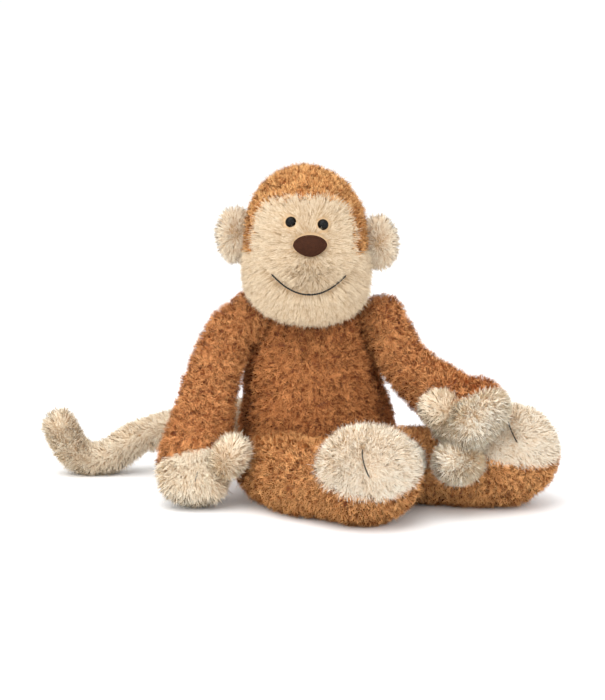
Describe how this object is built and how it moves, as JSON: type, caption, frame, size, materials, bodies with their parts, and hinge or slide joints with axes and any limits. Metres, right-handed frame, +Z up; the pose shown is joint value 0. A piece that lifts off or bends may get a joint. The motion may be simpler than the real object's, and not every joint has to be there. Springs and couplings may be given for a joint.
{
  "type": "stuffed monkey",
  "caption": "Sitting plush monkey with curly brown fur, cream face, ears, paws and tail, bead eyes, a stitched smile and long jointed floppy limbs.",
  "frame": {"origin": "middle of the flat seat under the torso", "axes": "+Z up, the face looks along -Y, the monkey's left is +X"},
  "size_m": [0.3794, 0.2021, 0.244],
  "materials": {
    "brown_fur": "curly plush pile",
    "cream_fur": "shaggy plush pile",
    "fill": "loose polyester fibre",
    "pellets": "small plastic pellets",
    "bead": "polished",
    "washer": "moulded",
    "nose": "brushed velour",
    "thread": "twisted thread"
  },
  "bodies": {
    "torso": {"torso_skin": "brown_fur", "torso_stuffing": "fill", "seat_pellets": "pellets"},
    "neck": {"neck_stuffing": "fill"},
    "head": {"head_cap": "brown_fur", "face_panel": "cream_fur", "head_stuffing": "fill", "eye_right": "bead", "eye_left": "bead", "eye_washer_right": "washer", "eye_washer_left": "washer", "nose": "nose", "mouth_stitch": "thread"},
    "ear_right": {"ear_right": "cream_fur"},
    "ear_left": {"ear_left": "cream_fur"},
    "upper_arm_right": {"upper_arm_skin_right": "brown_fur", "upper_arm_stuffing_right": "fill"},
    "forearm_right": {"forearm_skin_right": "brown_fur", "forearm_stuffing_right": "fill"},
    "hand_right": {"hand_skin_right": "cream_fur", "hand_pellets_right": "pellets", "thumb_right": "cream_fur", "palm_stitch_right": "thread"},
    "upper_arm_left": {"upper_arm_skin_left": "brown_fur", "upper_arm_stuffing_left": "fill"},
    "forearm_left": {"forearm_skin_left": "brown_fur", "forearm_stuffing_left": "fill"},
    "hand_left": {"hand_skin_left": "cream_fur", "hand_pellets_left": "pellets", "thumb_left": "cream_fur"},
    "thigh_right": {"thigh_skin_right": "brown_fur", "thigh_stuffing_right": "fill"},
    "shin_right": {"shin_skin_right": "brown_fur", "shin_stuffing_right": "fill"},
    "foot_right": {"foot_pad_right": "cream_fur", "heel_right": "brown_fur", "foot_pellets_right": "pellets", "big_toe_right": "cream_fur", "sole_stitch_right": "thread"},
    "thigh_left": {"thigh_skin_left": "brown_fur", "thigh_stuffing_left": "fill"},
    "shin_left": {"shin_skin_left": "brown_fur", "shin_stuffing_left": "fill"},
    "foot_left": {"foot_pad_left": "cream_fur", "heel_left": "brown_fur", "foot_pellets_left": "pellets", "big_toe_left": "cream_fur", "sole_stitch_left": "thread"},
    "tail_root": {"tail_root_skin": "cream_fur", "tail_root_stuffing": "fill"},
    "tail_middle": {"tail_middle_skin": "cream_fur", "tail_middle_stuffing": "fill"},
    "tail_tip": {"tail_tip_skin": "cream_fur", "tail_tip_stuffing": "fill"}
  },
  "joints": [
    {"name": "neck_turn", "type": "hinge", "parent": "torso", "child": "neck", "pos_m": [0, 0.009, 0.148], "axis": [0, 0, 1], "range_deg": [-22, 22]},
    {"name": "neck_nod", "type": "hinge", "parent": "neck", "child": "head", "pos_m": [0, 0.009, 0.148], "axis": [1, 0, 0], "range_deg": [-12, 8]},
    {"name": "ear_fold_right", "type": "hinge", "parent": "head", "child": "ear_right", "pos_m": [-0.057, -0.003, 0.1968], "axis": [0, 0, -1], "range_deg": [-20, 20]},
    {"name": "ear_fold_left", "type": "hinge", "parent": "head", "child": "ear_left", "pos_m": [0.0406, -0.003, 0.1908], "axis": [0, 0, 1], "range_deg": [-20, 20]},
    {"name": "shoulder_right", "type": "hinge", "parent": "torso", "child": "upper_arm_right", "pos_m": [-0.047, 0.006, 0.133], "axis": [-0.9292, 0.3697, 0], "range_deg": [0, 60]},
    {"name": "elbow_right", "type": "hinge", "parent": "upper_arm_right", "child": "forearm_right", "pos_m": [-0.078, -0.014, 0.093], "axis": [-0.9678, 0, 0.2516], "range_deg": [-5, 40]},
    {"name": "wrist_right", "type": "hinge", "parent": "forearm_right", "child": "hand_right", "pos_m": [-0.091, -0.038, 0.043], "axis": [-0.9926, 0, 0.1215], "range_deg": [-12, 25]},
    {"name": "shoulder_left", "type": "hinge", "parent": "torso", "child": "upper_arm_left", "pos_m": [0.047, 0.006, 0.133], "axis": [-0.7325, -0.6808, 0], "range_deg": [0, 55]},
    {"name": "elbow_left", "type": "hinge", "parent": "upper_arm_left", "child": "forearm_left", "pos_m": [0.08, -0.025, 0.089], "axis": [-0.4762, 0, -0.8793], "range_deg": [0, 40]},
    {"name": "wrist_left", "type": "hinge", "parent": "forearm_left", "child": "hand_left", "pos_m": [0.104, -0.056, 0.076], "axis": [-0.6153, -0.4638, -0.6374], "range_deg": [0, 10]},
    {"name": "hip_right", "type": "hinge", "parent": "torso", "child": "thigh_right", "pos_m": [-0.037, -0.033, 0.0255], "axis": [-0.8025, -0.5967, 0], "range_deg": [-20, 15]},
    {"name": "knee_right", "type": "hinge", "parent": "thigh_right", "child": "shin_right", "pos_m": [-0.008, -0.072, 0.027], "axis": [-0.5241, -0.8517, 0], "range_deg": [-28, 24]},
    {"name": "ankle_right", "type": "hinge", "parent": "shin_right", "child": "foot_right", "pos_m": [0.018, -0.088, 0.0295], "axis": [-0.5039, -0.8638, 0], "range_deg": [-12, 18]},
    {"name": "hip_left", "type": "hinge", "parent": "torso", "child": "thigh_left", "pos_m": [0.037, -0.033, 0.0255], "axis": [-0.1015, -0.9948, 0], "range_deg": [-20, 0]},
    {"name": "knee_left", "type": "hinge", "parent": "thigh_left", "child": "shin_left", "pos_m": [0.086, -0.038, 0.027], "axis": [-0.1135, -0.9935, 0], "range_deg": [-28, 0]},
    {"name": "ankle_left", "type": "hinge", "parent": "shin_left", "child": "foot_left", "pos_m": [0.121, -0.042, 0.03], "axis": [0.9578, 0.2873, 0], "range_deg": [0, 15]},
    {"name": "tail_swing", "type": "hinge", "parent": "torso", "child": "tail_root", "pos_m": [-0.026, 0.053, 0.047], "axis": [0, 0, 1], "range_deg": [-18, 12]},
    {"name": "tail_lift", "type": "hinge", "parent": "tail_root", "child": "tail_middle", "pos_m": [-0.084, 0.06, 0.043], "axis": [0, 1, 0], "range_deg": [-12, 28]},
    {"name": "tail_curl", "type": "hinge", "parent": "tail_middle", "child": "tail_tip", "pos_m": [-0.138, 0.057, 0.027], "axis": [0, 1, 0], "range_deg": [-5, 28]}
  ]
}
